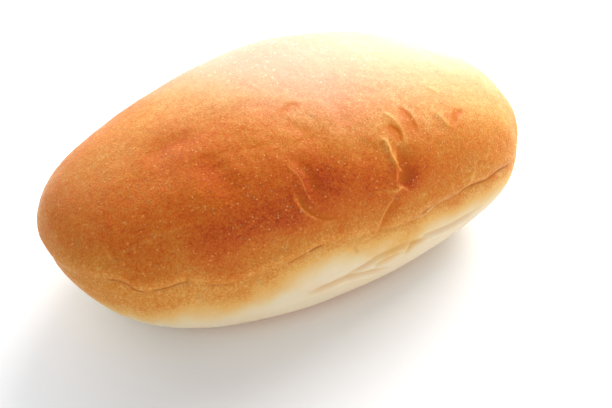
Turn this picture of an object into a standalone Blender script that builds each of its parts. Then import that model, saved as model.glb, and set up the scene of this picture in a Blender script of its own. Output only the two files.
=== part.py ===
# A soft oval bread roll, baked whole: one solid.
#
# Metres, +Z up. X runs along the roll, its slimmer end at -X. The -Y side is the one with the
# pale, folded flank. The origin is the middle of the underside, which is flat where it rests.
#
# The body is a grid of quads wrapped round a swollen oval. A place on its skin is named by two
# numbers: how far along the roll it is, in metres from the middle, and how far around, in degrees
# up from the middle of the -Y flank, so that 90 is the crown and 180 the +Y flank.

import math

import bmesh
import bpy
from mathutils import Vector

MM = 0.001

# Driving dimensions
LENGTH = 150 * MM            # end to end, before the swells
WIDTH = 86 * MM              # across the flanks
HEIGHT = 56 * MM             # table to crown
WAIST_HEIGHT = 21 * MM       # where the flanks are widest
UNDERSIDE_DEPTH = 29 * MM    # from the waist to the lowest point the round underside would reach
END_LIFT = 6.3 * MM          # how far the two ends rise above the waist
SIDE_BEND = -1 * MM          # how far the ends lean to the -Y side
BASE_SOFTNESS = 1.5 * MM     # how gently the underside turns into its flat

# How blunt the ends are, as a power of the roll's half-round taper: 0.5 is an ellipse
PLAN_TAPER = {"left": 0.42, "right": 0.32}   # seen from above
SIDE_TAPER = 0.54                            # seen from the side

# How square the section is: 2 is an ellipse
TOP_FULLNESS = 2.4
UNDERSIDE_FULLNESS = 2.3

# Cells of the skin grid along X, Y and Z, and steps from place to place along a line on the skin
GRID_CELLS = (44, 24, 16)
LINE_STEPS = 6

# Where the dough swelled more or less than the plain oval: centre, and how far out
SWELL_REACH = 22 * MM
SWELLS = (
    (Vector((71, -22, 29)) * MM, -3.2 * MM),    # flattened corner of the blunt end
    (Vector((62, -32, 21)) * MM, 2.6 * MM),     # bulge under that corner
    (Vector((63, 18, 38)) * MM, -3.5 * MM),     # flattened shoulder behind the blunt end
    (Vector((-75, 4, 28)) * MM, 3.0 * MM),      # nose of the slim end
    (Vector((-61, -27, 16)) * MM, 1.5 * MM),    # its cheek on the pale side
    (Vector((-64, 21, 34)) * MM, 1.5 * MM),     # its cheek on the far side
    (Vector((3, 34, 47)) * MM, 1.3 * MM),       # fullest part of the far shoulder
)
SWELL_HEART = Vector((0, 0, 24)) * MM           # swells push away from here

# The crust's edge: a shallow pinch with a lip of crust over it, along each flank
CRUST_EDGE = {"depth": 0.7 * MM, "width": 2.4 * MM, "lip": 0.5 * MM}
NEAR_EDGE = (
    (-74, 18), (-65, 22), (-50, 20), (-39, 16), (-22, 18), (-8, 20), (6, 17), (20, 15), (40, 16), (60, 9),
)
FAR_EDGE = (
    (-72, 152), (-55, 159), (-36, 162), (-14, 158), (8, 163), (28, 160), (46, 163), (62, 167),
)

# Creases and hollows, each a line on the skin: where it runs, how deep and how wide it is, in mm.
# A negative depth is a ridge.
CREASES = {
    "left crack": (((-69, 23), (-64.5, 24), (-61.5, 16), (-56, 18), (-50, 22)), 1.2, 2.0),
    "middle crack": (((-22, 18), (-18, 20), (-12, 21)), 1.0, 2.0),
    "low fold": (((-14, -6), (-6, -4), (-1, -6), (6, -11)), 0.8, 2.0),
    "middle fold": (((-4, -2), (5, 2), (11, 2), (20, 0)), 0.7, 2.0),
    "right fold": (((22, 0), (30, -3), (38, -4)), 0.6, 2.0),
    "notch": (((24.6, 64), (27, 61), (27, 57)), 1.0, 2.2),
    "pit": (((18.2, 61), (20.5, 57), (21.2, 51)), 1.2, 2.2),
    "hollow": (((18.8, 50), (18.2, 46), (16.6, 38), (16.2, 31)), 1.1, 3.2),
    "golden ridge": (((11.8, 55), (16, 50), (15.6, 46), (17.6, 37)), -1.0, 2.0),
    "run to the edge": (((14.2, 31), (8.8, 24), (5.2, 15)), 0.8, 2.0),
    "right dent": (((46.5, 54), (42.5, 54), (39.4, 49)), 0.7, 2.2),
    "right ridge": (((36.4, 59), (37.5, 52), (38.6, 48)), -0.6, 2.0),
    "long crease": (((-12, 63), (-10.8, 56), (-9.6, 44), (-8, 38)), 0.9, 2.2),
    "short crease": (((-15, 48), (-14.6, 40), (-9.3, 32)), 0.7, 2.0),
    "shoulder ripple": (((-8.2, 76), (-5, 69), (-2.5, 62)), 0.5, 2.4),
    "shoulder valley": (((-47, 86), (-38, 90), (-31, 83)), 0.5, 3.0),
    "broad valley": (((-32.7, 77), (-31, 62), (-27.5, 53)), 0.6, 3.2),
    "far pleat": (((-31, 152), (-26, 158), (-24, 166)), 0.8, 2.4),
    "far dent": (((33, 150), (37, 156), (38, 164)), 1.0, 3.0),
    "far fold": (((-12, 182), (2, 178), (16, 181), (30, 184)), 0.8, 2.4),
}

CRUST_COLOUR = (0.46, 0.17, 0.055, 1.0)
CRUST_ROUGHNESS = 0.5


def clear_scene():
    for old in list(bpy.data.objects):
        bpy.data.objects.remove(old, do_unlink=True)


def ease(t):
    t = min(max(t, 0.0), 1.0)
    return t * t * (3 - 2 * t)


def bell(distance, reach):
    return math.exp(-(distance / reach) ** 2)


def between_ends(values, along):
    """The value at a place along the roll, -1 to 1, eased from the left end's to the right's."""
    return values["left"] + (values["right"] - values["left"]) * ease((along + 1) / 2)


def rest_on_table(z):
    """Flatten what would reach below the table, with a soft turn into the flat."""
    if z >= BASE_SOFTNESS:
        return z
    if z <= -BASE_SOFTNESS:
        return 0.0
    return (z + BASE_SOFTNESS) ** 2 / (4 * BASE_SOFTNESS)


def skin_point(along, around):
    """The smooth skin at a place: along is -1 to 1, around is in radians."""
    taper = max(1 - along * along, 0.0)
    half_width = WIDTH / 2 * taper ** between_ends(PLAN_TAPER, along)
    side = taper ** SIDE_TAPER
    rise = (HEIGHT - WAIST_HEIGHT) if math.sin(around) > 0 else UNDERSIDE_DEPTH
    fullness = TOP_FULLNESS if math.sin(around) > 0 else UNDERSIDE_FULLNESS
    across, up = math.cos(around), math.sin(around)
    reach = (abs(across) ** fullness + abs(up) ** fullness) ** (-1 / fullness)
    point = Vector((
        LENGTH / 2 * along,
        SIDE_BEND * along ** 2 - half_width * reach * across,
        WAIST_HEIGHT + END_LIFT * along ** 4 + rise * side * reach * up,
    ))
    plain = point.copy()
    for centre, height in SWELLS:
        out = centre - SWELL_HEART
        out = Vector((out.x / LENGTH ** 2, out.y / WIDTH ** 2, out.z / HEIGHT ** 2)).normalized()
        point += out * height * bell((plain - centre).length, SWELL_REACH)
    point.z = rest_on_table(point.z)
    return point


def place_on_skin(mm_along, degrees):
    return skin_point(mm_along * MM / (LENGTH / 2), math.radians(degrees))


def through(p, q, r, s, t):
    """The value at t, 0 to 1, of a smooth run from q to r with neighbours p and s."""
    slope = (r - p) * t
    bend = (2 * p - 5 * q + 4 * r - s) * t ** 2
    turn = (3 * q - p - 3 * r + s) * t ** 3
    return (2 * q + slope + bend + turn) / 2


def skin_line(places):
    """Points along a smooth line through places given as (mm from the middle, degrees around)."""
    ends = [places[0], *places, places[-1]]
    line = []
    for neighbours in zip(ends, ends[1:], ends[2:], ends[3:]):
        for step in range(LINE_STEPS):
            line.append(place_on_skin(*(through(*four, step / LINE_STEPS) for four in zip(*neighbours))))
    line.append(place_on_skin(*places[-1]))
    return line


def nearest_on_line(point, line):
    """The distance from a point to a line, and the vector from the line to the point."""
    best = None
    for start, end in zip(line, line[1:]):
        run = end - start
        t = (point - start).dot(run) / run.length_squared
        offset = point - (start + run * min(max(t, 0.0), 1.0))
        if best is None or offset.length_squared < best.length_squared:
            best = offset
    return best.length, best


def edge_relief(point, line):
    """The pinch under the crust's edge, and the lip of crust above it."""
    distance, offset = nearest_on_line(point, line)
    pinch = -CRUST_EDGE["depth"] * bell(distance, CRUST_EDGE["width"])
    above = max(offset.z, 0.0)
    lip = CRUST_EDGE["lip"] * above / CRUST_EDGE["width"] * bell(distance, 2 * CRUST_EDGE["width"])
    return pinch + lip


def box_grid(bm):
    """A cube of quads, two units wide, cut into GRID_CELLS cells along its three axes."""
    bmesh.ops.create_cube(bm, size=2.0)
    for axis, cells in enumerate(GRID_CELLS):
        runs = [e for e in bm.edges if abs(e.verts[0].co[axis] - e.verts[1].co[axis]) > 1.0]
        bmesh.ops.subdivide_edges(bm, edges=runs, cuts=cells - 1, use_grid_fill=True)


def wrap_round_roll(bm):
    """Carry each point of the cube out to the skin, evenly by angle."""
    for vert in bm.verts:
        aim = Vector([math.tan(c * math.pi / 4) for c in vert.co]).normalized()
        vert.co = skin_point(aim.x, math.atan2(aim.z, -aim.y))


def press_creases(bm):
    """Push the crust's edge, the creases and the hollows into the skin, along its normals."""
    edges = [skin_line(places) for places in (NEAR_EDGE, FAR_EDGE)]
    lines = [(skin_line(places), depth * MM, width * MM) for places, depth, width in CREASES.values()]
    bm.normal_update()
    moves = []
    for vert in bm.verts:
        move = sum(edge_relief(vert.co, line) for line in edges)
        for line, depth, width in lines:
            move -= depth * bell(nearest_on_line(vert.co, line)[0], width)
        moves.append(vert.normal * move)
    for vert, move in zip(bm.verts, moves):
        if vert.co.z > BASE_SOFTNESS:
            vert.co += move


def flatten_base(bm):
    """Make the flat that the roll rests on a single face."""
    flat = [f for f in bm.faces if max(v.co.z for v in f.verts) == 0.0]
    bmesh.ops.dissolve_faces(bm, faces=flat, use_verts=False)


def centre_on_base(bm):
    """Put the origin under the middle of the roll's box."""
    for axis in (0, 1):
        values = [v.co[axis] for v in bm.verts]
        middle = (min(values) + max(values)) / 2
        for vert in bm.verts:
            vert.co[axis] -= middle


def crust_material():
    material = bpy.data.materials.new("golden_crust")
    material.use_nodes = True
    shader = material.node_tree.nodes["Principled BSDF"]
    shader.inputs["Base Color"].default_value = CRUST_COLOUR
    shader.inputs["Roughness"].default_value = CRUST_ROUGHNESS
    shader.inputs["Metallic"].default_value = 0.0
    material.diffuse_color = CRUST_COLOUR
    return material


def make_roll(collection):
    bm = bmesh.new()
    box_grid(bm)
    wrap_round_roll(bm)
    bmesh.ops.recalc_face_normals(bm, faces=bm.faces)
    press_creases(bm)
    flatten_base(bm)
    centre_on_base(bm)
    mesh = bpy.data.meshes.new("bread_roll")
    bm.to_mesh(mesh)
    bm.free()
    mesh.shade_smooth()
    mesh.materials.append(crust_material())
    roll = bpy.data.objects.new("bread_roll", mesh)
    collection.objects.link(roll)
    return roll


def main():
    clear_scene()
    collection = bpy.data.collections.new("Bread roll")
    bpy.context.scene.collection.children.link(collection)
    make_roll(collection)


main()
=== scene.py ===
import math

import bmesh
import bpy
import numpy as np
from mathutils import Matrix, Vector


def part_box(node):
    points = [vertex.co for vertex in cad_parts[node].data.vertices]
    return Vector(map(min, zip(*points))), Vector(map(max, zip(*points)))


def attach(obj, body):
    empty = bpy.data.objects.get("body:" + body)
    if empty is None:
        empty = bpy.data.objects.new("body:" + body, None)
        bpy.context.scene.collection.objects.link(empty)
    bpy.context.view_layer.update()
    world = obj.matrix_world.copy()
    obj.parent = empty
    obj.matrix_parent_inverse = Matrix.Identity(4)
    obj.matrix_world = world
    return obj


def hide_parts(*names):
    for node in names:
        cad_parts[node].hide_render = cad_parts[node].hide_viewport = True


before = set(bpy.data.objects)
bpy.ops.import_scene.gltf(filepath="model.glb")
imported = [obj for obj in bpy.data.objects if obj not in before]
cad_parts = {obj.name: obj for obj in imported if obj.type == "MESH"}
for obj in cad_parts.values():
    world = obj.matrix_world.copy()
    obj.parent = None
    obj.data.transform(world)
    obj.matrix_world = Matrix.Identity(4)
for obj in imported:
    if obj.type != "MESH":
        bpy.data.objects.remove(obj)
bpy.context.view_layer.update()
rollNode = "bread_roll"
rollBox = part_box(rollNode)
print("frame loaded, the roll is", [round(1000 * side, 1) for side in rollBox[1] - rollBox[0]], "mm")

mm = 0.001


class Wire:
    # one output socket; + - * / on wires and numbers add the Math nodes
    def __init__(self, tree, socket=None):
        self.tree = tree
        self.socket = socket

    def add(self, kind, settings=None, inputs=None, output=0):
        node = self.tree.nodes.new(kind)
        for name, value in (settings or {}).items():
            if name == "stops":
                setStops(node.color_ramp, value)
            else:
                setattr(node, name, value)
        for name, value in (inputs or {}).items():
            if isinstance(value, Wire):
                self.tree.links.new(value.socket, node.inputs[name])
            else:
                node.inputs[name].default_value = value
        return Wire(self.tree, node.outputs[output])

    def math(self, operation, first, second=0.0, clamp=False):
        return self.add("ShaderNodeMath", {"operation": operation, "use_clamp": clamp}, {0: first, 1: second})

    def __add__(self, other):
        return self.math("ADD", self, other)

    __radd__ = __add__

    def __sub__(self, other):
        return self.math("SUBTRACT", self, other)

    def __rsub__(self, other):
        return self.math("SUBTRACT", other, self)

    def __mul__(self, other):
        return self.math("MULTIPLY", self, other)

    __rmul__ = __mul__

    def __truediv__(self, other):
        return self.math("DIVIDE", self, other)

    def __rtruediv__(self, other):
        return self.math("DIVIDE", other, self)

    def __pow__(self, other):
        return self.math("POWER", self, other)

    def clamped(self):
        return self.math("ADD", self, 0.0, clamp=True)

    def ramp(self, low, high):
        # 0 at low to 1 at high, eased
        settings = {"interpolation_type": "SMOOTHSTEP"}
        return self.add("ShaderNodeMapRange", settings, {"Value": self, "From Min": low, "From Max": high})


def setStops(ramp, stops):
    while len(ramp.elements) > 1:
        ramp.elements.remove(ramp.elements[-1])
    for index, (position, colour) in enumerate(stops):
        element = ramp.elements[0] if index == 0 else ramp.elements.new(position)
        element.position = position
        element.color = colour


def srgb(red, green, blue):
    # a colour from 0 to 255 a channel, as light
    steps = [channel / 255 for channel in (red, green, blue)]
    return tuple(s / 12.92 if s <= 0.04045 else ((s + 0.055) / 1.055) ** 2.4 for s in steps) + (1.0,)


# the dough's form, in millimetres, from the roll's middle at table height
roll = {
    "length": 150.0,
    "width": 86.0,
    "height": 56.0,
    "waistHeight": 21.0,          # where it is widest
    "undersideDepth": 29.0,       # below the waist, before the table flattens it
    "endLift": 6.3,               # of the waist, at both ends
    "sideBend": -1.0,             # of both ends, towards the near side
    "baseSoftness": 1.5,          # over which the side turns into the base
    "taper": (0.42, 0.32),        # of the width, at the slim left end and the blunt right end
    "sideTaper": 0.54,            # of the height
    "topFullness": 2.4,
    "undersideFullness": 2.3,
    "swellReach": 22.0,
    # places that stand out from the plain oval, or in, and how far
    "swells": (
        ((71, -22, 29), -3.2),
        ((62, -32, 21), 2.6),
        ((63, 18, 38), -3.5),
        ((-75, 4, 28), 3.0),
        ((-61, -27, 16), 1.5),
        ((-64, 21, 34), 1.5),
        ((3, 34, 47), 1.3),
    ),
    "swellHeart": (0, 0, 24),     # what they stand out from
    # soft waves all over, and finer ones on the crust: size, height and seed
    "waves": (16, 0.09, 1),
    "crustWaves": (7, 0.03, 2),
    "crustWavesGrow": (-3, 3),    # mm above the crust's edge
    "reliefGrows": (0.5, 3.5),    # mm above the table, as the base stays flat
    # where the crust crumpled
    "crumple": {
        "middle": (12, -22, 50),
        "reach": (34, 16, 20),    # along X, Y and Z
        "depth": 0.32,
        "size": 13,               # from crease to crease
        "seed": 9,
        "highest": 0.8,           # where the waves are cut off
        "level": 0.5,             # the wave height that stays at the skin
    },
    "cells": (204, 100, 82),      # of the skin, along X, Y and Z
    # where those cells crowd together, -1 to 1, over what span and how much, along X, Y and Z: at the
    # creases and the crust's edge
    "crowding": ((0.3, 0.55, 0.9), (-0.45, 0.5, 0.9), (0.45, 0.2, 1.2)),
}

# the edge of the browned crust: its height above the table at places along the roll
crustEdge = {
    "near": ((-78, 27), (-73, 30), (-66, 31.6), (-62, 29.2), (-56, 30.3), (-50, 31.7), (-40, 29.4),
             (-23, 31.6), (-13, 33.5), (-5, 33), (5, 31.5), (17, 29.2), (24, 30.6), (39, 30), (46, 28.4),
             (52, 28), (60, 25.5), (68, 26), (76, 28)),
    "far": ((-78, 27), (-72, 29), (-58, 31.5), (-40, 30), (-22, 32.5), (-4, 31), (14, 29.5), (32, 31.5),
            (48, 30), (62, 27), (76, 28)),
    "pinch": 0.40,          # how deep the skin is drawn in along it
    "pinchWidth": 1.5,
    "lip": 0.45,            # how far the crust stands over it
    "lipAt": 2.2,
    "lipWidth": 2.0,
    "tearWidth": 0.42,
    "tearDeepens": 3,       # how soon a tear is at its deepest, from either end
    "tornLip": 0.45,        # how far the crust stands over a tear, for each mm of its depth
    "tornLipAt": 1.0,
    "tornLipWidth": 0.7,
    "turnsOver": (-8, 8),   # mm across the roll, where one flank's line passes into the other's
    # where the skin tore open along it: from, to, and how deep
    "tears": {
        "near": ((-69, -60.5, 0.3), (-60, -49.5, 0.28), (-46, -38, 0.2), (-23.5, -16, 0.2), (-16.5, -12, 0.6),
                 (14, 36, 0.25), (33, 62, 0.4)),
        "far": ((-52, -36, 0.6), (-8, 6, 0.4), (26, 44, 0.6)),
    },
}

# creases, each a line on the skin through places (mm from the middle, degrees up round from the near
# flank), then: depth, width to its left, width to its right, the lip beside it, the colour in it, which is
# partly painted shade in its groove, and the fine bright line along it, a painted highlight.
# Left and right are those of someone walking the line on the skin. A lip stands on the right, or on the
# left if it is negative. A negative depth is a ridge.
creases = {
    "notch": (((24.8, 65), (26.4, 63), (27.0, 59), (27.0, 54), (27.3, 50)), 0.15, 0.6, 2.4, -0.12, 1.5, 0),
    "pit": (((19.0, 60), (19.9, 57), (20.9, 55), (20.6, 51.5), (18.8, 49.5)), 0.22, 0.8, 2.2, -0.15, 1.7, 0),
    "hollow": (((18.8, 50), (18.2, 46), (17.4, 42), (16.6, 38), (15.6, 34), (16.2, 31)),
               1.0, 4.0, 0.8, 0.2, 0.6, 0.4),
    "golden ridge": (((11.8, 55), (15.4, 53), (16.0, 50), (15.6, 46), (16.8, 40), (17.6, 37)),
                     -0.5, 0.6, 0.9, 0, 0, 0.7),
    "little ridge": (((9.8, 33), (13.7, 32), (15.1, 32.5), (18.2, 29)), -0.5, 0.6, 0.7, 0, 0, 0.9),
    "run to the edge": (((14.2, 31), (11.2, 27), (8.8, 24), (6.4, 20), (5.2, 15)),
                        0.8, 2.4, 0.5, 0.3, 0.6, 0.8),
    "right dent": (((46.5, 54), (43.3, 54.5), (41.9, 53), (39.4, 49)), 0.25, 1.1, 1.1, 0.05, 1.5, 0),
    "right ridge": (((36.4, 59), (36.8, 55), (37.5, 52), (38.6, 48)), -0.35, 0.6, 0.8, 0, 0, 0.4),
    "bridge": (((19.4, 64), (21.4, 61), (23.0, 56)), -0.25, 0.7, 0.7, 0, 0, 0.4),
    "high ridge": (((40.0, 71), (40.4, 69), (41.5, 65)), -0.25, 0.6, 0.8, 0, 0, 0.2),
    "long crease": (((-12, 63), (-10.8, 56), (-9.8, 50), (-9.6, 44), (-8, 38)),
                    0.32, 2.2, 1.5, 0.08, 0.3, 0.5),
    "short crease": (((-14.6, 48), (-15.1, 44), (-14.6, 40), (-12.7, 36), (-9.3, 32), (-6, 31)),
                     0.65, 1.3, 0.5, 0.2, 0.9, 0.6),
    "shoulder ripple": (((-8.2, 76), (-6.6, 72), (-4.6, 68), (-2.5, 62)), 0.2, 1.3, 2.4, 0.06, 0.4, 0),
    "crown ripple": (((-9.4, 80), (-6.6, 80), (-3.2, 81), (-0.4, 78)), 0.12, 0.8, 1.3, -0.05, 0.7, 0),
    "crown ridge": (((-24, 96), (-18.5, 96), (-12.7, 94), (-7.8, 90), (-2.9, 83), (4, 74)),
                    -0.22, 3.0, 2.2, 0, 0, 0),
    "shoulder valley": (((-47, 86), (-41, 90), (-36.5, 89), (-31, 83)), 0.5, 3.2, 4.2, 0.05, 0.15, 0),
    "broad valley": (((-32.7, 77), (-31.8, 67), (-30.5, 60), (-27.5, 53)), 0.6, 3.4, 4.4, 0.1, 0.15, 0),
    "faint line": (((-33, 75), (-23.2, 71), (-11.7, 66)), 0.1, 0.9, 0.9, 0, 0.2, 0),
    "left streak": (((-64.6, 55), (-64.2, 48), (-63.6, 40)), 0.25, 0.9, 0.7, 0.1, 0.2, 0.3),
    "left line": (((-62, 47), (-55, 49), (-49, 50), (-41, 49)), -0.2, 0.8, 0.8, 0, 0, 0.3),
    "left thread": (((-65, 33), (-62.6, 29), (-61, 26)), 0.15, 0.6, 0.6, 0.1, 0.2, 0.2),
    "rim ridge": (((15.6, 12), (18, 14), (22.2, 15), (26.4, 17), (32, 17), (38, 19), (42.1, 27), (43.5, 38)),
                  -0.4, 0.7, 0.5, 0, 0, 0.7),
    "rim step": (((6.4, 17), (10.8, 14.5), (15.6, 14.5)), 0.3, 0.8, 0.8, 0, 0.5, 0),
    "tear's corner": (((-50.3, 19), (-49.6, 23), (-49.0, 28)), 0.6, 0.6, 0.6, 0.1, 0.6, 0),
    "faint mark": (((-2.6, 15), (-2.2, 12), (-1.5, 9)), 0.15, 0.6, 0.6, 0, 0.9, 0),
    "slit": (((-32.6, 17), (-31.6, 13), (-30.3, 9)), 0.3, 0.7, 0.7, 0, 0.8, 0),
    "golden slit": (((-47.8, 15), (-47.2, 10), (-46.2, 3)), 0.2, 0.9, 0.9, 0, 0.7, 0),
    "low fold": (((-18, -6), (-14.2, -6), (-5.9, -4), (-1, -6), (6.4, -11), (11, -15)),
                 0.6, 0.5, 1.2, 0.3, 0.6, 0.4),
    "middle fold": (((-6, -3), (-3.9, -2), (2, 0), (5.4, 2), (11.2, 2), (16.1, 2), (21, 0)),
                    0.5, 0.5, 1.3, 0.3, 0.6, 0.4),
    "upper fold": (((3.5, -5), (5.9, -4), (10.3, -3), (14.5, -2)), 0.4, 0.6, 1.3, 0.2, 0.5, 0.3),
    "fold's wedge": (((14.6, -9), (16.6, -2), (18, -1), (24, -4)), 0.5, 0.8, 1.2, 0.2, 0.9, 0),
    "right fold": (((20.5, 1), (22.7, 0), (30.5, -3), (38.3, -4), (47, -5)), 0.5, 0.5, 1.3, 0.3, 0.5, 0.5),
    "left fold": (((-33, -8), (-20.8, -3), (-9.8, -4)), 0.35, 1.6, 2.2, 0.2, 0, 0),
    "far pleat": (((-31, 152), (-26, 158), (-24, 166)), 0.9, 1.1, 1.5, -0.4, 0.4, 0.3),
    "far dent": (((33, 150), (37, 156), (38, 164)), 0.9, 2.4, 1.0, 0.3, 0.4, 0.3),
    "far fold": (((-12, 182), (2, 178), (16, 181), (30, 184)), 0.7, 0.8, 1.6, 0.5, 0.4, 0.4),
    "far low fold": (((-30, 190), (-18, 187), (-6, 189)), 0.5, 1.6, 0.8, 0.3, 0.3, 0.3),
}

creaseShape = {
    "fadesOver": 0.3,       # share of a crease's length, at either end
    "lipAt": 1.8,           # from the line, in widths of that side
    "lipWidth": 0.9,        # in widths of that side
    "threadReach": 1.5,     # mm from the fine line that it may colour
    "farAway": 9.0,         # mm from any fine line, to start with
}


def eased(value):
    value = np.clip(value, 0, 1)
    return value * value * (3 - 2 * value)


def grown(value, stretch):
    # 0 where the stretch starts to 1 where it ends, eased, whichever way it runs
    start, end = stretch
    return eased((value - start) / (end - start))


def between(first, last, share):
    return first + (last - first) * share


def bell(distance, reach):
    return np.exp(-(distance / reach) ** 2)


def skin(along, around):
    # the smooth oval at places along it, -1 to 1, and around it, in radians up from the near flank
    taper = np.clip(1 - along ** 2, 0, 1)
    bluntness = between(*roll["taper"], grown(along, (-1, 1)))
    halfWidth = roll["width"] / 2 * taper ** bluntness
    over = np.sin(around) > 0
    rise = np.where(over, roll["height"] - roll["waistHeight"], roll["undersideDepth"])
    rise = rise * taper ** roll["sideTaper"]
    fullness = np.where(over, roll["topFullness"], roll["undersideFullness"])
    across, up = np.cos(around), np.sin(around)
    reach = (np.abs(across) ** fullness + np.abs(up) ** fullness) ** (-1 / fullness)
    x = roll["length"] / 2 * along
    y = roll["sideBend"] * along ** 2 - halfWidth * reach * across
    z = roll["waistHeight"] + roll["endLift"] * along ** 4 + rise * reach * up
    plain = np.stack([x, y, z], -1)
    points = plain.copy()
    sides = np.array([roll["length"], roll["width"], roll["height"]])
    for centre, height in roll["swells"]:
        out = (np.array(centre) - roll["swellHeart"]) / sides ** 2
        out /= np.linalg.norm(out)
        away = np.linalg.norm(plain - centre, axis=-1)
        points += (height * bell(away, roll["swellReach"]))[..., None] * out
    soft = roll["baseSoftness"]
    z = points[..., 2]
    points[..., 2] = np.where(z >= soft, z, np.where(z <= -soft, 0, (z + soft) ** 2 / (4 * soft)))
    return points


def smoothLine(places, steps=8):
    # an even run of values through the places, as a smooth curve
    places = np.array(places, float)
    ends = np.concatenate([places[:1], places, places[-1:]])
    t = (np.arange(steps) / steps)[:, None]
    line = []
    for p, q, r, s in zip(ends, ends[1:], ends[2:], ends[3:]):
        line.append(0.5 * (2 * q + (r - p) * t + (2 * p - 5 * q + 4 * r - s) * t ** 2
                           + (3 * q - p - 3 * r + s) * t ** 3))
    return np.concatenate(line + [places[-1:]])


def lineOnSkin(places):
    line = smoothLine(places)
    return skin(line[:, 0] / (roll["length"] / 2), np.radians(line[:, 1]))


def crowdCells(places, at, span, much, samples=801):
    steps = np.linspace(-1, 1, samples)
    crowd = 1 + much * bell(steps - at, span)
    passed = np.concatenate([[0], np.cumsum((crowd[1:] + crowd[:-1]) / 2)])
    return np.interp((places + 1) / 2 * passed[-1], passed, steps)


def makeGrid(name):
    # a cube of quads, two units wide, to be wrapped round the roll
    bm = bmesh.new()
    bmesh.ops.create_cube(bm, size=2.0)
    for axis, cells in enumerate(roll["cells"]):
        runs = [e for e in bm.edges if abs(e.verts[0].co[axis] - e.verts[1].co[axis]) > 1.0]
        bmesh.ops.subdivide_edges(bm, edges=runs, cuts=cells - 1, use_grid_fill=True)
    mesh = bpy.data.meshes.new(name)
    bm.to_mesh(mesh)
    bm.free()
    return mesh


def readVectors(items, name):
    vectors = np.empty(len(items) * 3, np.float32)
    items.foreach_get(name, vectors)
    return vectors.reshape(-1, 3).astype(float)


def writePoints(mesh, points):
    mesh.vertices.foreach_set("co", points.astype(np.float32).ravel())
    mesh.update()


def writeField(mesh, name, values):
    field = mesh.attributes.new(name, "FLOAT", "POINT")
    field.data.foreach_set("value", values.astype(np.float32))


def edgeHeight(x, y):
    # the height of the crust's edge, from one flank's line to the other's round the ends
    near, far = smoothLine(crustEdge["near"]), smoothLine(crustEdge["far"])
    share = grown(y, crustEdge["turnsOver"])
    nearHeight, farHeight = (np.interp(x, side[:, 0], side[:, 1]) for side in (near, far))
    return (1 - share) * nearHeight + share * farHeight


def tearDepth(x, y):
    depth = np.zeros_like(x)
    for side, flank in (("near", y < 0), ("far", y >= 0)):
        for start, end, deep in crustEdge["tears"][side]:
            middle = 1 - np.abs((x - start) / (end - start) * 2 - 1)
            depth = np.maximum(depth, flank * deep * eased(middle * crustEdge["tearDeepens"]))
    return depth


def edgeRelief(points):
    above = points[:, 2] - edgeHeight(points[:, 0], points[:, 1])
    tear = tearDepth(points[:, 0], points[:, 1])
    relief = crustEdge["lip"] * bell(above - crustEdge["lipAt"], crustEdge["lipWidth"])
    relief -= crustEdge["pinch"] * bell(above, crustEdge["pinchWidth"])
    relief -= tear * bell(above, crustEdge["tearWidth"])
    relief += crustEdge["tornLip"] * tear * bell(above - crustEdge["tornLipAt"], crustEdge["tornLipWidth"])
    return relief, above, tear


def creaseRelief(points, normals, places, depth, leftWidth, rightWidth, lip, stainAndShade, thread):
    # what one crease does: how far it moves the skin, its stain and painted shade, how far off its fine line
    # is, and how strong
    line = lineOnSkin(places)
    best = np.full(len(points), np.inf)
    side = np.zeros(len(points))     # 1 to the left of the line, -1 to its right
    gone = np.zeros(len(points))
    for index, (start, end) in enumerate(zip(line, line[1:])):
        run = end - start
        t = np.clip((points - start) @ run / (run @ run), 0, 1)
        offset = points - start - t[:, None] * run
        away = np.linalg.norm(offset, axis=1)
        closer = away < best
        best = np.where(closer, away, best)
        left = np.einsum("ij,ij->i", offset, np.cross(normals, run))
        side = np.where(closer, np.sign(left), side)
        gone = np.where(closer, (index + t) / (len(line) - 1), gone)
    strength = eased(gone / creaseShape["fadesOver"]) * eased((1 - gone) / creaseShape["fadesOver"])
    groove = bell(best, np.where(side > 0, leftWidth, rightWidth)) * strength
    lipSide, lipWidth = (-1, rightWidth) if lip > 0 else (1, leftWidth)
    fromLip = best * side * lipSide - creaseShape["lipAt"] * lipWidth
    rim = bell(fromLip, creaseShape["lipWidth"] * lipWidth) * strength
    # the fine line runs along the lip, or along the crest of a ridge
    fromThread = best * side if depth < 0 else fromLip
    threadShare = thread * strength * bell(fromThread, creaseShape["threadReach"])
    return abs(lip) * rim - depth * groove, stainAndShade * groove, fromThread, threadShare


def pressCreases(points, normals):
    folded, stainAndShade, threadShare = np.zeros((3, len(points)))
    fromThread = np.full(len(points), creaseShape["farAway"])
    for crease in creases.values():
        pressed, coloured, away, share = creaseRelief(points, normals, *crease)
        folded += pressed
        stainAndShade = np.maximum(stainAndShade, coloured)
        fromThread = np.where(share > threadShare, away, fromThread)
        threadShare = np.maximum(share, threadShare)
    return folded, stainAndShade, fromThread, threadShare


def ripples(points, size, seed, waves=24, shortest=0.7, longest=1.4):
    # a soft random swell over the skin, about -1 to 1, from crossing waves
    random = np.random.default_rng(seed)
    total = np.zeros(len(points))
    for wave in range(waves):
        heading = random.normal(size=3)
        heading *= 2 * math.pi / size * random.uniform(shortest, longest) / np.linalg.norm(heading)
        total += np.sin(points @ heading + random.uniform(0, 2 * math.pi))
    return total / math.sqrt(waves)


def crumpleRelief(points):
    crumple = roll["crumple"]
    away = np.linalg.norm((points - crumple["middle"]) / crumple["reach"], axis=1)
    waves = np.abs(ripples(points, crumple["size"], crumple["seed"]))
    return crumple["depth"] * (np.minimum(waves, crumple["highest"]) - crumple["level"]) * bell(away, 1.0)
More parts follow.
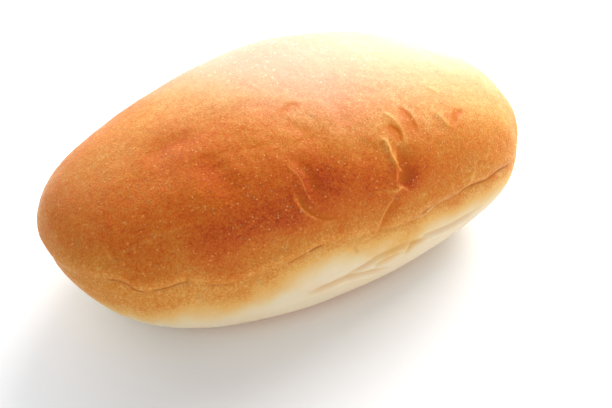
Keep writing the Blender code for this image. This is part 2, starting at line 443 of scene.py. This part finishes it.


# how far the oven browned each place, 0 raw-pale to 1 deepest brown, with painted highlight and shade. A pair
# of places says where something starts and where it is complete, in mm along or across the roll, or above the
# crust's edge or the table.
bakingAndPaintedLight = {
    "flank": 0.04,
    "edge": 0.48,
    "crown": 0.90,
    "risesAbove": (0, 13),        # above the edge, to the crown's brown
    # how the browning wanders up and down: size, height and seed
    "wander": ((26, 1.6, 4), (9, 0.9, 5)),
    "rightSide": (8, 38),         # along the roll
    "rightSideCalmer": 0.9,       # how much of the wander the edge of the brown loses there
    "fadesOver": (12.0, 9.5),     # below the edge to the flank's pale, at the left and the right
    "bluntEnd": (22, 36),
    "fadesOverEnd": 0.5,          # more than that at the blunt end
    "endDrop": 1.5,               # the golden edge reaches further down there
    "slimEnd": (-33, -53),
    "slimDrop": 7.0,              # and there
    "leftTip": (-48, -78),
    "leftTipBrowner": 0.04,
    "rightEnd": (5, 50),
    "rightEndPaler": 0.12,
    "crownFade": (0.2, 0.36),     # the crown is more golden than the near shoulder, most to the right: partly a paler crust, partly painted highlight
    "crownFadesAlong": (-45, 30),
    "crownFadesAcross": (-37, -13),
    "crownNearer": 7.0,           # it starts nearer towards the right
    "crownNearerAlong": (-15, 25),
    "farHighlight": 0.16,              # painted highlight, palest just past the crown
    "farHighlightAt": 11.0,
    "farHighlightReach": 15.0,
    "underside": 0.55,
    "undersideBelow": (5, 0),
    "glareFrom": -28.0,           # across the roll, where the crown's painted highlight starts
    "glareGrows": 42.0,           # over which it grows
    "glareLaterLeft": 22.0,       # further back that it starts towards the slim end
    "glareLaterAlong": (10, -30),
    "glareEndsAlong": (-8, -44),  # where it dies out towards the slim end
    "glareAbove": (0, 14),
    "ridgePaintedHighlight": 0.35,           # painted highlight on ridges, for each mm that a ridge stands up
    "highestRidge": 0.5,          # mm, past which it gets no paler
    "hollowPaintedShade": 0.14,        # painted shade in creases, for each mm that a crease is pressed in
    # places browner or paler than that: where, in mm, how far they reach, how much
    "patches": (
        ((-38, -1, 51), 10.0, 0.08),
        ((-32, -14, 51), 10.0, 0.07),
        ((-73, 4, 37), 14.0, 0.06),
        ((-1, -12, 55), 7.0, -0.08),
        ((7, -12, 55), 5.0, 0.06),
        # painted shade in the notch
        ((26, -25, 49), 5.0, 0.14),
        ((3, -26, 52), 6.0, -0.08),
        ((20, -28, 48), 7.0, -0.13),
        ((40, -26, 45), 5.0, 0.07),
        # partly a deeper crust colour, partly painted shade in the hollow
        ((19, -36, 42), 4.0, 0.25),
        ((49, -35, 32), 7.0, 0.06),
        ((32, -40, 28), 5.0, 0.08),
        # painted shade beside the long crease
        ((-7, -29, 49), 5.0, 0.12),
        ((-13, 25, 51), 14.0, -0.14),
        ((-28, 22, 50), 12.0, -0.10),
    ),
}


def bakeAndPaintedLightOnSkin(points, above):
    x, y = points[:, 0], points[:, 1]
    right, blunt = grown(x, bakingAndPaintedLight["rightSide"]), grown(x, bakingAndPaintedLight["bluntEnd"])
    wander = sum(height * ripples(points, size, seed) for size, height, seed in bakingAndPaintedLight["wander"])
    rise = grown(above + wander, bakingAndPaintedLight["risesAbove"])
    lower = above + wander * (1 - bakingAndPaintedLight["rightSideCalmer"] * right)
    lower += bakingAndPaintedLight["slimDrop"] * grown(x, bakingAndPaintedLight["slimEnd"]) + bakingAndPaintedLight["endDrop"] * blunt
    reach = between(*bakingAndPaintedLight["fadesOver"], right) + bakingAndPaintedLight["fadesOverEnd"] * blunt
    fade = np.clip(1 + lower / reach, 0, 1)
    bakeAndPaintedLight = between(bakingAndPaintedLight["flank"], bakingAndPaintedLight["edge"], fade) + (bakingAndPaintedLight["crown"] - bakingAndPaintedLight["edge"]) * rise
    bakeAndPaintedLight += bakingAndPaintedLight["leftTipBrowner"] * grown(x, bakingAndPaintedLight["leftTip"]) * rise
    bakeAndPaintedLight -= bakingAndPaintedLight["rightEndPaler"] * grown(x, bakingAndPaintedLight["rightEnd"]) * rise
    # partly a paler crust on the crown, partly painted highlight
    golden = between(*bakingAndPaintedLight["crownFade"], grown(x, bakingAndPaintedLight["crownFadesAlong"]))
    nearer = bakingAndPaintedLight["crownNearer"] * grown(x, bakingAndPaintedLight["crownNearerAlong"])
    bakeAndPaintedLight -= golden * grown(y + nearer, bakingAndPaintedLight["crownFadesAcross"]) * rise
    # painted highlight just past the crown
    bakeAndPaintedLight -= bakingAndPaintedLight["farHighlight"] * bell(y - bakingAndPaintedLight["farHighlightAt"], bakingAndPaintedLight["farHighlightReach"]) * rise
    for place, spread, amount in bakingAndPaintedLight["patches"]:
        bakeAndPaintedLight += amount * bell(np.linalg.norm(points - place, axis=1), spread)
    return between(bakeAndPaintedLight, bakingAndPaintedLight["underside"], grown(points[:, 2], bakingAndPaintedLight["undersideBelow"]))


def crownGlareOnSkin(points, above):
    # a painted highlight: the crown and the far shoulder drawn paler and rosier, where the light from behind
    # catches them
    x, y = points[:, 0], points[:, 1]
    start = bakingAndPaintedLight["glareFrom"] + bakingAndPaintedLight["glareLaterLeft"] * grown(x, bakingAndPaintedLight["glareLaterAlong"])
    crownGlare = eased((y - start) / bakingAndPaintedLight["glareGrows"]) * grown(above, bakingAndPaintedLight["glareAbove"])
    return crownGlare * (1 - grown(x, bakingAndPaintedLight["glareEndsAlong"]))


def wrapGrid(mesh):
    # the grid laid on the smooth oval, with its normals out
    cube = readVectors(mesh.vertices, "co")
    for axis, crowding in enumerate(roll["crowding"]):
        cube[:, axis] = crowdCells(cube[:, axis], *crowding)
    aim = np.tan(cube * math.pi / 4)
    aim /= np.linalg.norm(aim, axis=1)[:, None]
    points = skin(aim[:, 0], np.arctan2(aim[:, 2], -aim[:, 1]))
    writePoints(mesh, points)
    normals = readVectors(mesh.vertex_normals, "vector")
    if np.einsum("ij,ij->i", normals, points - points.mean(0)).mean() < 0:
        mesh.flip_normals()
        normals = -normals
    return points, normals


def standInBox(points):
    # moved to the middle of the solid's box, and down to the table
    low, high = (np.array(corner) / mm for corner in rollBox)
    middle = (points.min(0) + points.max(0)) / 2 - (low + high) / 2
    return points - [middle[0], middle[1], points[:, 2].min()]


def makeSkin():
    mesh = makeGrid("roll_crust")
    points, normals = wrapGrid(mesh)
    relief, above, tear = edgeRelief(points)
    folded, stainAndShade, fromThread, threadShare = pressCreases(points, normals)
    onCrust = grown(above, roll["crustWavesGrow"])
    relief += folded + crumpleRelief(points)
    for (size, height, seed), share in ((roll["waves"], 1), (roll["crustWaves"], onCrust)):
        relief += height * share * ripples(points, size, seed)
    relief *= grown(points[:, 2], roll["reliefGrows"])
    bakeAndPaintedLight = bakeAndPaintedLightOnSkin(points, above)
    # painted highlight on the ridges and painted shade in the crease hollows
    bakeAndPaintedLight -= onCrust * bakingAndPaintedLight["ridgePaintedHighlight"] * np.clip(folded, 0, bakingAndPaintedLight["highestRidge"])
    bakeAndPaintedLight += onCrust * bakingAndPaintedLight["hollowPaintedShade"] * np.clip(-folded, 0, None)
    # what the crust's material and relief read
    fields = {
        "bakeAndPaintedLight": bakeAndPaintedLight,
        "aboveEdge": above,
        "tear": tear,
        "stainAndShade": stainAndShade,
        "crownGlare": crownGlareOnSkin(points, above),
        "fromThread": fromThread,
        "threadShare": threadShare,
    }
    for name, values in fields.items():
        writeField(mesh, name, values)
    writePoints(mesh, standInBox(points + normals * relief[:, None]) * mm)
    return mesh


skinMesh = makeSkin()
print("skin wrapped:", len(skinMesh.polygons), "quads")


crustLook = {
    # the skin's colour by how baked it is, painted highlight and shade included
    "bakes": (
        (0.00, srgb(224, 208, 180)),
        (0.16, srgb(222, 196, 148)),
        (0.34, srgb(220, 168, 92)),
        (0.52, srgb(206, 130, 48)),
        (0.72, srgb(200, 103, 26)),
        (0.90, srgb(186, 76, 12)),
        (1.00, srgb(166, 58, 8)),
    ),
    # the colour in the creases, partly stain and partly painted shade
    "stainAndShadeColour": srgb(200, 106, 10),
    "flankStainAndShadeColour": srgb(206, 152, 80),
    "tearShadeColour": srgb(168, 76, 8),
    # the colour of the crown's painted highlight
    "glareColour": srgb(232, 183, 170),
    "threadHighlightColour": srgb(232, 162, 84),
    "flankThreadHighlightColour": srgb(236, 222, 192),
    "threadWidth": 0.55,      # mm, to each side
    "threadHighlightStrength": 0.75,
    "fleckColour": srgb(234, 172, 102),
    # the flecks' colour inside the crown's painted highlight
    "glareFleckColour": srgb(252, 232, 204),
    "fleckSize": 1.5 * mm,
    "fleckEdge": (0.10, 0.26),       # from full to none, in fleck sizes
    "fleckStrength": (0.6, 0.9),     # on plain crust, and in the crown's painted highlight
    "blotchStrength": 0.7,
    "blisterPaler": 0.35,            # how far the blisters are lifted towards the flecks' colour
    "stainAndShadeStrength": 0.95,
    "glareStrength": 0.6,
    "tearLine": 0.55,                # mm, to each side
    "tearDarkens": 2.5,              # painted shade, darker for each mm of its depth
    "tearStrength": 0.85,
    "crustStarts": (0.2, 0.6),       # how baked the skin is where it starts to be crust, and where it is
    "edgeStarts": (-3.0, 2.0),       # mm above the crust's edge, the same
    # plain noises: size, detail and roughness
    "patches": (11 * mm, 3.0, 0.5),
    "mottle": (2.0 * mm, 3.0, 0.6),
    "grain": (0.62 * mm, 2.0, 0.7),
    "fine": (0.5 * mm, 2.0, 0.6),
    # noises that pick places: the same, and the values from which and at which they do
    "threadGaps": (1.1 * mm, 2.0, 0.5, 0.35, 0.6),
    "fleckFields": (1.7 * mm, 1.0, 0.5, 0.46, 0.58),
    "blotches": (1.5 * mm, 3.0, 0.6, 0.58, 0.72),
    "blotchFields": (10 * mm, 2.0, 0.5, 0.4, 0.6),
    "patchStrength": 0.14,           # of each noise, on how baked the skin looks
    "mottleStrength": 0.32,
    "grainStrength": 0.72,
    "flankMottle": 0.1,              # share of the last two that the pale flanks keep
    "flankBump": 0.2,                # and of the bump
    "threadBump": 0.8,
    "bumpStrength": 0.9,
    "bumpHeight": 0.16 * mm,
    "crustRoughness": 0.45,
    "flankRoughness": 0.66,
    "roughnessMottle": 0.18,
    "shine": 0.14,
    "velvet": 0.02,
    "velvetRoughness": 0.45,
    "subsurface": 0.45,
    "subsurfaceReach": 3.0 * mm,
    "subsurfaceShares": (1.0, 0.5, 0.25),   # of that reach, for red, green and blue
}


def makeCrustMaterial(name, paler=0.0):
    # paler lifts the whole surface towards the fleck's colour, for the blisters
    material = bpy.data.materials.new(name)
    material.use_nodes = True
    tree = material.node_tree
    shader = tree.nodes["Principled BSDF"]
    wire = Wire(tree)
    place = wire.add("ShaderNodeTexCoord", output="Object")

    def field(attribute):
        return wire.add("ShaderNodeAttribute", {"attribute_name": attribute}, output="Fac")

    def noise(name):
        size, detail, roughness = crustLook[name][:3]
        return wire.add("ShaderNodeTexNoise", None,
                        {"Vector": place, "Scale": 1 / size, "Detail": detail, "Roughness": roughness}, "Fac")

    def picked(name):
        return noise(name).ramp(*crustLook[name][3:])

    def line(distance, width):
        # 1 on the line to 0 at its width, to each side
        return (1 - distance.math("ABSOLUTE", distance) / width).clamped()

    def mix(factor, first, second):
        return wire.add("ShaderNodeMix", {"data_type": "RGBA"}, {0: factor, 6: first, 7: second}, 2)

    bakeAndPaintedLight, aboveEdge, tear, stainAndShade, crownGlare, fromThread, threadShare = (
        field(name) for name in ("bakeAndPaintedLight", "aboveEdge", "tear", "stainAndShade", "crownGlare", "fromThread", "threadShare"))
    onCrust = bakeAndPaintedLight.ramp(*crustLook["crustStarts"])
    overEdge = aboveEdge.ramp(*crustLook["edgeStarts"])
    patches, mottle, grain = (noise(name) - 0.5 for name in ("patches", "mottle", "grain"))
    uneven = mottle * crustLook["mottleStrength"] + grain * crustLook["grainStrength"]
    uneven = uneven * (onCrust * (1 - crustLook["flankMottle"]) + crustLook["flankMottle"])
    tone = bakeAndPaintedLight + patches * crustLook["patchStrength"] + uneven
    colour = wire.add("ShaderNodeValToRGB", {"stops": crustLook["bakes"]}, {"Fac": tone})

    # the crown's painted highlight, the brown and painted shade in the creases, and painted shade along the
    # torn edge
    colour = mix(crownGlare * crustLook["glareStrength"], colour, crustLook["glareColour"])
    crevice = mix(overEdge, crustLook["flankStainAndShadeColour"], crustLook["stainAndShadeColour"])
    colour = mix((stainAndShade * crustLook["stainAndShadeStrength"]).clamped(), colour, crevice)
    # painted shade along the tears, darker the deeper they are
    torn = (tear * crustLook["tearDarkens"]).clamped() * crustLook["tearStrength"]
    torn = (line(aboveEdge, crustLook["tearLine"]) * torn).clamped()
    colour = mix(torn, colour, crustLook["tearShadeColour"])

    # the fine bright lines along lips and ridges: painted highlight, with a small bump
    thread = line(fromThread, crustLook["threadWidth"]) * threadShare * picked("threadGaps")
    # painted highlight colour along the crests
    pale = mix(overEdge, crustLook["flankThreadHighlightColour"], crustLook["threadHighlightColour"])
    colour = mix((thread * crustLook["threadHighlightStrength"]).clamped(), colour, pale)

    # pale flecks on the crust, and ragged pale blotches only inside the crown's painted highlight, where the
    # flecks also turn paler
    cells = wire.add("ShaderNodeTexVoronoi", {"feature": "F1"},
                     {"Vector": place, "Scale": 1 / crustLook["fleckSize"], "Randomness": 1.0}, "Distance")
    flecks = (1 - cells.ramp(*crustLook["fleckEdge"])) * picked("fleckFields") * overEdge
    blotches = picked("blotches") * picked("blotchFields") * crownGlare * crustLook["blotchStrength"]
    flecks = (flecks + blotches).clamped()
    fleckColour = mix(crownGlare, crustLook["fleckColour"], crustLook["glareFleckColour"])
    plain, inGlare = crustLook["fleckStrength"]
    colour = mix((flecks * (crownGlare * (inGlare - plain) + plain) + paler).clamped(), colour, fleckColour)

    roughness = between(crustLook["flankRoughness"], crustLook["crustRoughness"], onCrust)
    roughness = (roughness + mottle * crustLook["roughnessMottle"]).clamped()

    relief = noise("fine") * (onCrust * (1 - crustLook["flankBump"]) + crustLook["flankBump"])
    relief = relief + thread * crustLook["threadBump"]
    bump = wire.add("ShaderNodeBump", None, {"Height": relief, "Strength": crustLook["bumpStrength"],
                                             "Distance": crustLook["bumpHeight"]}, "Normal")

    tree.links.new(colour.socket, shader.inputs["Base Color"])
    tree.links.new(roughness.socket, shader.inputs["Roughness"])
    if not paler:
        tree.links.new(bump.socket, shader.inputs["Normal"])
    shader.inputs["Specular IOR Level"].default_value = crustLook["shine"]
    shader.inputs["Sheen Weight"].default_value = crustLook["velvet"]
    shader.inputs["Sheen Roughness"].default_value = crustLook["velvetRoughness"]
    shader.inputs["Subsurface Weight"].default_value = crustLook["subsurface"]
    shader.inputs["Subsurface Radius"].default_value = crustLook["subsurfaceShares"]
    shader.inputs["Subsurface Scale"].default_value = crustLook["subsurfaceReach"]
    return material


crustMaterial = makeCrustMaterial("browned_crust")
blisterMaterial = makeCrustMaterial("blister_skin", paler=crustLook["blisterPaler"])


def newTree(name, numbers):
    # a tree with a geometry in, a geometry out, a material and named numbers
    tree = bpy.data.node_groups.new(name, "GeometryNodeTree")
    tree.interface.new_socket("Geometry", in_out="INPUT", socket_type="NodeSocketGeometry")
    tree.interface.new_socket("Material", in_out="INPUT", socket_type="NodeSocketMaterial")
    for label, kind in numbers:
        tree.interface.new_socket(label, in_out="INPUT", socket_type=kind)
    tree.interface.new_socket("Geometry", in_out="OUTPUT", socket_type="NodeSocketGeometry")
    source = tree.nodes.new("NodeGroupInput")
    return tree, {socket.name: Wire(tree, socket) for socket in source.outputs if socket.name}


def closeTree(wire, geometry, material):
    real = wire.add("GeometryNodeRealizeInstances", None, {"Geometry": geometry})
    painted = wire.add("GeometryNodeSetMaterial", None, {"Geometry": real, "Material": material})
    end = wire.tree.nodes.new("NodeGroupOutput")
    wire.tree.links.new(painted.socket, end.inputs[0])


def growPiece(name, mesh, tree, values):
    # runs a tree on a mesh and keeps the result as a plain mesh
    seedling = bpy.data.objects.new(name + "_source", mesh)
    bpy.context.collection.objects.link(seedling)
    modifier = seedling.modifiers.new("grow", "NODES")
    modifier.node_group = tree
    for item in tree.interface.items_tree:
        if item.in_out == "INPUT" and item.name in values:
            modifier[item.identifier] = values[item.name]
    bpy.context.view_layer.update()
    evaluated = seedling.evaluated_get(bpy.context.evaluated_depsgraph_get())
    grown = bpy.data.meshes.new_from_object(evaluated)
    seedling.modifiers.remove(modifier)
    bpy.data.objects.remove(seedling)
    grown.name = name
    grown.shade_smooth()
    piece = bpy.data.objects.new(name, grown)
    bpy.context.collection.objects.link(piece)
    return piece


pebbles = {
    "Pebble Size": 1.9 * mm,
    "Pebble Height": 0.13 * mm,
    "Grain Size": 0.9 * mm,
    "Grain Height": 0.05 * mm,
    "Flank Share": 0.25,       # how much of the relief the pale flanks keep
}
pebblesGrow = (0.5 * mm, 3 * mm)     # above the table, as the base stays flat


def makePebbleTree():
    numbers = [(label, "NodeSocketFloat") for label in pebbles]
    tree, given = newTree("crustRelief", numbers)
    wire = Wire(tree)
    place = wire.add("GeometryNodeInputPosition")
    normal = wire.add("GeometryNodeInputNormal")
    bakeAndPaintedLight = wire.add("GeometryNodeInputNamedAttribute", {"data_type": "FLOAT"}, {"Name": "bakeAndPaintedLight"})
    share = given["Flank Share"] + (1 - given["Flank Share"]) * bakeAndPaintedLight.ramp(*crustLook["crustStarts"])
    height = 0
    for label in ("Pebble", "Grain"):
        relief = wire.add("ShaderNodeTexNoise", None,
                          {"Vector": place, "Scale": 1 / given[label + " Size"], "Detail": 1.0})
        height = height + (relief - 0.5) * 2 * given[label + " Height"]
    aboveTable = wire.add("ShaderNodeSeparateXYZ", None, {"Vector": place}, "Z")
    height = height * share * aboveTable.ramp(*pebblesGrow)
    offset = wire.add("ShaderNodeVectorMath", {"operation": "SCALE"}, {"Vector": normal, "Scale": height})
    moved = wire.add("GeometryNodeSetPosition", None, {"Geometry": given["Geometry"], "Offset": offset})
    closeTree(wire, moved, given["Material"])
    return tree


crust = growPiece("roll_crust", skinMesh, makePebbleTree(), {**pebbles, "Material": crustMaterial})
print("crust relief done")

blisters = {
    "Density": 330000.0,       # per square metre at most
    "Smallest": 0.12 * mm,
    "Largest": 0.36 * mm,
    "Flatness": 0.2,
    "Skew": 5.0,               # the higher, the more of them are small
    "Seed": 7,
}
# where they grow: pairs are from none to the full number
blisterFields = {
    "driftSize": 16 * mm,              # of the fields with many or few
    "drift": (0.3, 0.6),
    "aboveEdge": (0.0, 6.0),           # mm
    "aboveTable": (8 * mm, 14 * mm),
    "thinsOut": (47 * mm, 53 * mm),    # above the table, from the full number to the fewest
    "thinning": 0.9,                   # share lost on top
    "domeSegments": 8,
    "domeRings": 4,
}


def makeBlisterTree():
    kinds = [(label, "NodeSocketInt" if label == "Seed" else "NodeSocketFloat") for label in blisters]
    tree, given = newTree("crustBlisters", kinds)
    wire = Wire(tree)
    place = wire.add("GeometryNodeInputPosition")
    drift = wire.add("ShaderNodeTexNoise", None,
                     {"Vector": place, "Scale": 1 / blisterFields["driftSize"], "Detail": 2.0})
    height = wire.add("ShaderNodeSeparateXYZ", None, {"Vector": place}, "Z")
    above = wire.add("GeometryNodeInputNamedAttribute", {"data_type": "FLOAT"}, {"Name": "aboveEdge"})
    density = given["Density"] * above.ramp(*blisterFields["aboveEdge"])
    density = density * drift.ramp(*blisterFields["drift"])
    thinned = height.ramp(*blisterFields["thinsOut"]) * blisterFields["thinning"]
    density = density * height.ramp(*blisterFields["aboveTable"]) * (1 - thinned)
    points = wire.add("GeometryNodeDistributePointsOnFaces", None,
                      {"Mesh": given["Geometry"], "Density": density, "Seed": given["Seed"]})
    turn = Wire(tree, points.socket.node.outputs["Rotation"])
    chance = wire.add("FunctionNodeRandomValue", {"data_type": "FLOAT"}, {"Seed": given["Seed"]}, 1)
    size = given["Smallest"] + (given["Largest"] - given["Smallest"]) * chance ** given["Skew"]
    high = size * given["Flatness"]
    scale = wire.add("ShaderNodeCombineXYZ", None, {"X": size, "Y": size, "Z": high})
    dome = wire.add("GeometryNodeMeshUVSphere", None,
                    {"Radius": 1.0, "Segments": blisterFields["domeSegments"],
                     "Rings": blisterFields["domeRings"]})
    placed = wire.add("GeometryNodeInstanceOnPoints", None,
                      {"Points": points, "Instance": dome, "Rotation": turn, "Scale": scale})
    closeTree(wire, placed, given["Material"])
    return tree


blisterPiece = growPiece("crust_blisters", crust.data.copy(), makeBlisterTree(),
                         {**blisters, "Material": blisterMaterial})
print("blisters:", len(blisterPiece.data.polygons), "faces")

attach(crust, "root")
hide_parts(rollNode)
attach(blisterPiece, "root")


studio = {
    "floorSize": 6.0,
    "floorColour": (0.925, 0.925, 0.93, 1.0),
    "floorRoughness": 0.6,
    "skyColour": (0.94, 0.97, 1.0, 1.0),
    "skyStrength": 0.5,
    # each light: degrees to the right of straight behind the roll, as the camera sees it, degrees up, metres
    # away, width, height, watts, colour
    "lights": {
        "window": (28.0, 33.0, 1.0, 0.9, 0.6, 18.0, (1.0, 0.985, 0.965)),
        "farWall": (-30.0, 30.0, 1.0, 1.3, 0.6, 7.2, (0.93, 0.97, 1.0)),
        "reflector": (150.0, 28.0, 1.0, 0.8, 0.8, 3.2, (1.0, 0.985, 0.965)),
    },
    "lightAim": (0.0, 0.0, 20.0 * mm),
    "cameraAim": (-1.7 * mm, -17.0 * mm, 25.0 * mm),
    "cameraTurn": -29.3,       # degrees round from straight in front
    "cameraHeight": 45.0,      # degrees above the table
    "cameraDistance": 352.9 * mm,
    "lens": 70.0,
    "nearestSeen": 10.0 * mm,
}


def makeFloor():
    bpy.ops.mesh.primitive_plane_add(size=studio["floorSize"])
    floor = bpy.context.object
    floor.name = "table_top"
    material = bpy.data.materials.new("white_table")
    material.use_nodes = True
    shader = material.node_tree.nodes["Principled BSDF"]
    shader.inputs["Base Color"].default_value = studio["floorColour"]
    shader.inputs["Roughness"].default_value = studio["floorRoughness"]
    floor.data.materials.append(material)


def makeSky():
    world = bpy.data.worlds.new("studio_sky")
    world.use_nodes = True
    sky = world.node_tree.nodes["Background"]
    sky.inputs["Color"].default_value = studio["skyColour"]
    sky.inputs["Strength"].default_value = studio["skyStrength"]
    bpy.context.scene.world = world


def aimAt(thing, target):
    thing.rotation_euler = (Vector(target) - thing.location).to_track_quat("-Z", "Y").to_euler()


def makeLight(name):
    turn, height, distance, wide, tall, watts, colour = studio["lights"][name]
    light = bpy.data.lights.new(name, "AREA")
    light.shape = "RECTANGLE"
    light.size = wide
    light.size_y = tall
    light.energy = watts
    light.color = colour
    lamp = bpy.data.objects.new(name, light)
    bpy.context.collection.objects.link(lamp)
    turn, height = math.radians(turn - studio["cameraTurn"]), math.radians(height)
    away = Vector((math.sin(turn) * math.cos(height), math.cos(turn) * math.cos(height), math.sin(height)))
    lamp.location = away * distance
    aimAt(lamp, studio["lightAim"])


def makeCamera():
    camera = bpy.data.cameras.new("camera")
    camera.lens = studio["lens"]
    camera.clip_start = studio["nearestSeen"]
    eye = bpy.data.objects.new("camera", camera)
    bpy.context.collection.objects.link(eye)
    turn, height = math.radians(studio["cameraTurn"]), math.radians(studio["cameraHeight"])
    back = Vector((math.cos(height) * math.sin(turn), -math.cos(height) * math.cos(turn), math.sin(height)))
    eye.location = Vector(studio["cameraAim"]) + back * studio["cameraDistance"]
    aimAt(eye, studio["cameraAim"])
    bpy.context.scene.camera = eye


makeFloor()
makeSky()
for name in studio["lights"]:
    makeLight(name)
makeCamera()
bpy.context.scene.view_settings.view_transform = "Standard"
print("studio set")
